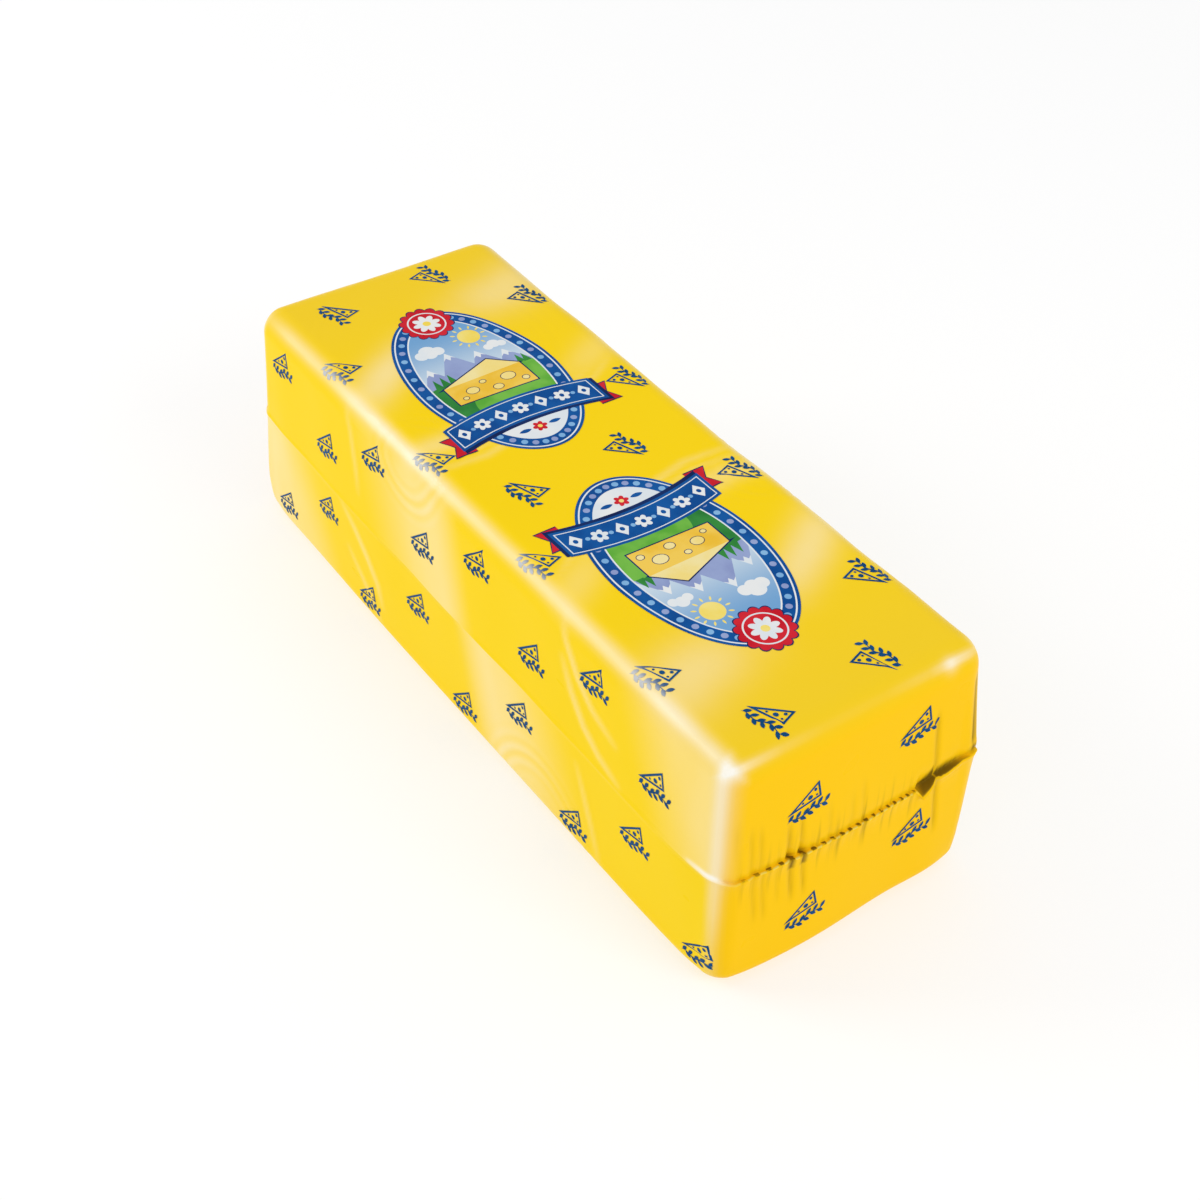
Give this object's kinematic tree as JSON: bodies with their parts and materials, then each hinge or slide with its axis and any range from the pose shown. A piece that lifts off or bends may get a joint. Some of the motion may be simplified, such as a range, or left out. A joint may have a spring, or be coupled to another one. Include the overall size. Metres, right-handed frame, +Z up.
{
  "type": "packed cheese loaf",
  "caption": "Long rectangular loaf of cheese shut in printed yellow shrink film, with folds along its sides and a pinked seal across each end.",
  "frame": {"origin": "middle of the base that the loaf lies on", "axes": "+X along the loaf towards the end whose seal shows in the picture, +Y across it, +Z up"},
  "size_m": [0.312, 0.1114, 0.0972],
  "materials": {
    "yellow_film": "glossy yellow shrink film, drawn tight over the cheese"
  },
  "bodies": {
    "root": {"wrapped_loaf": "yellow_film"}
  },
  "joints": []
}
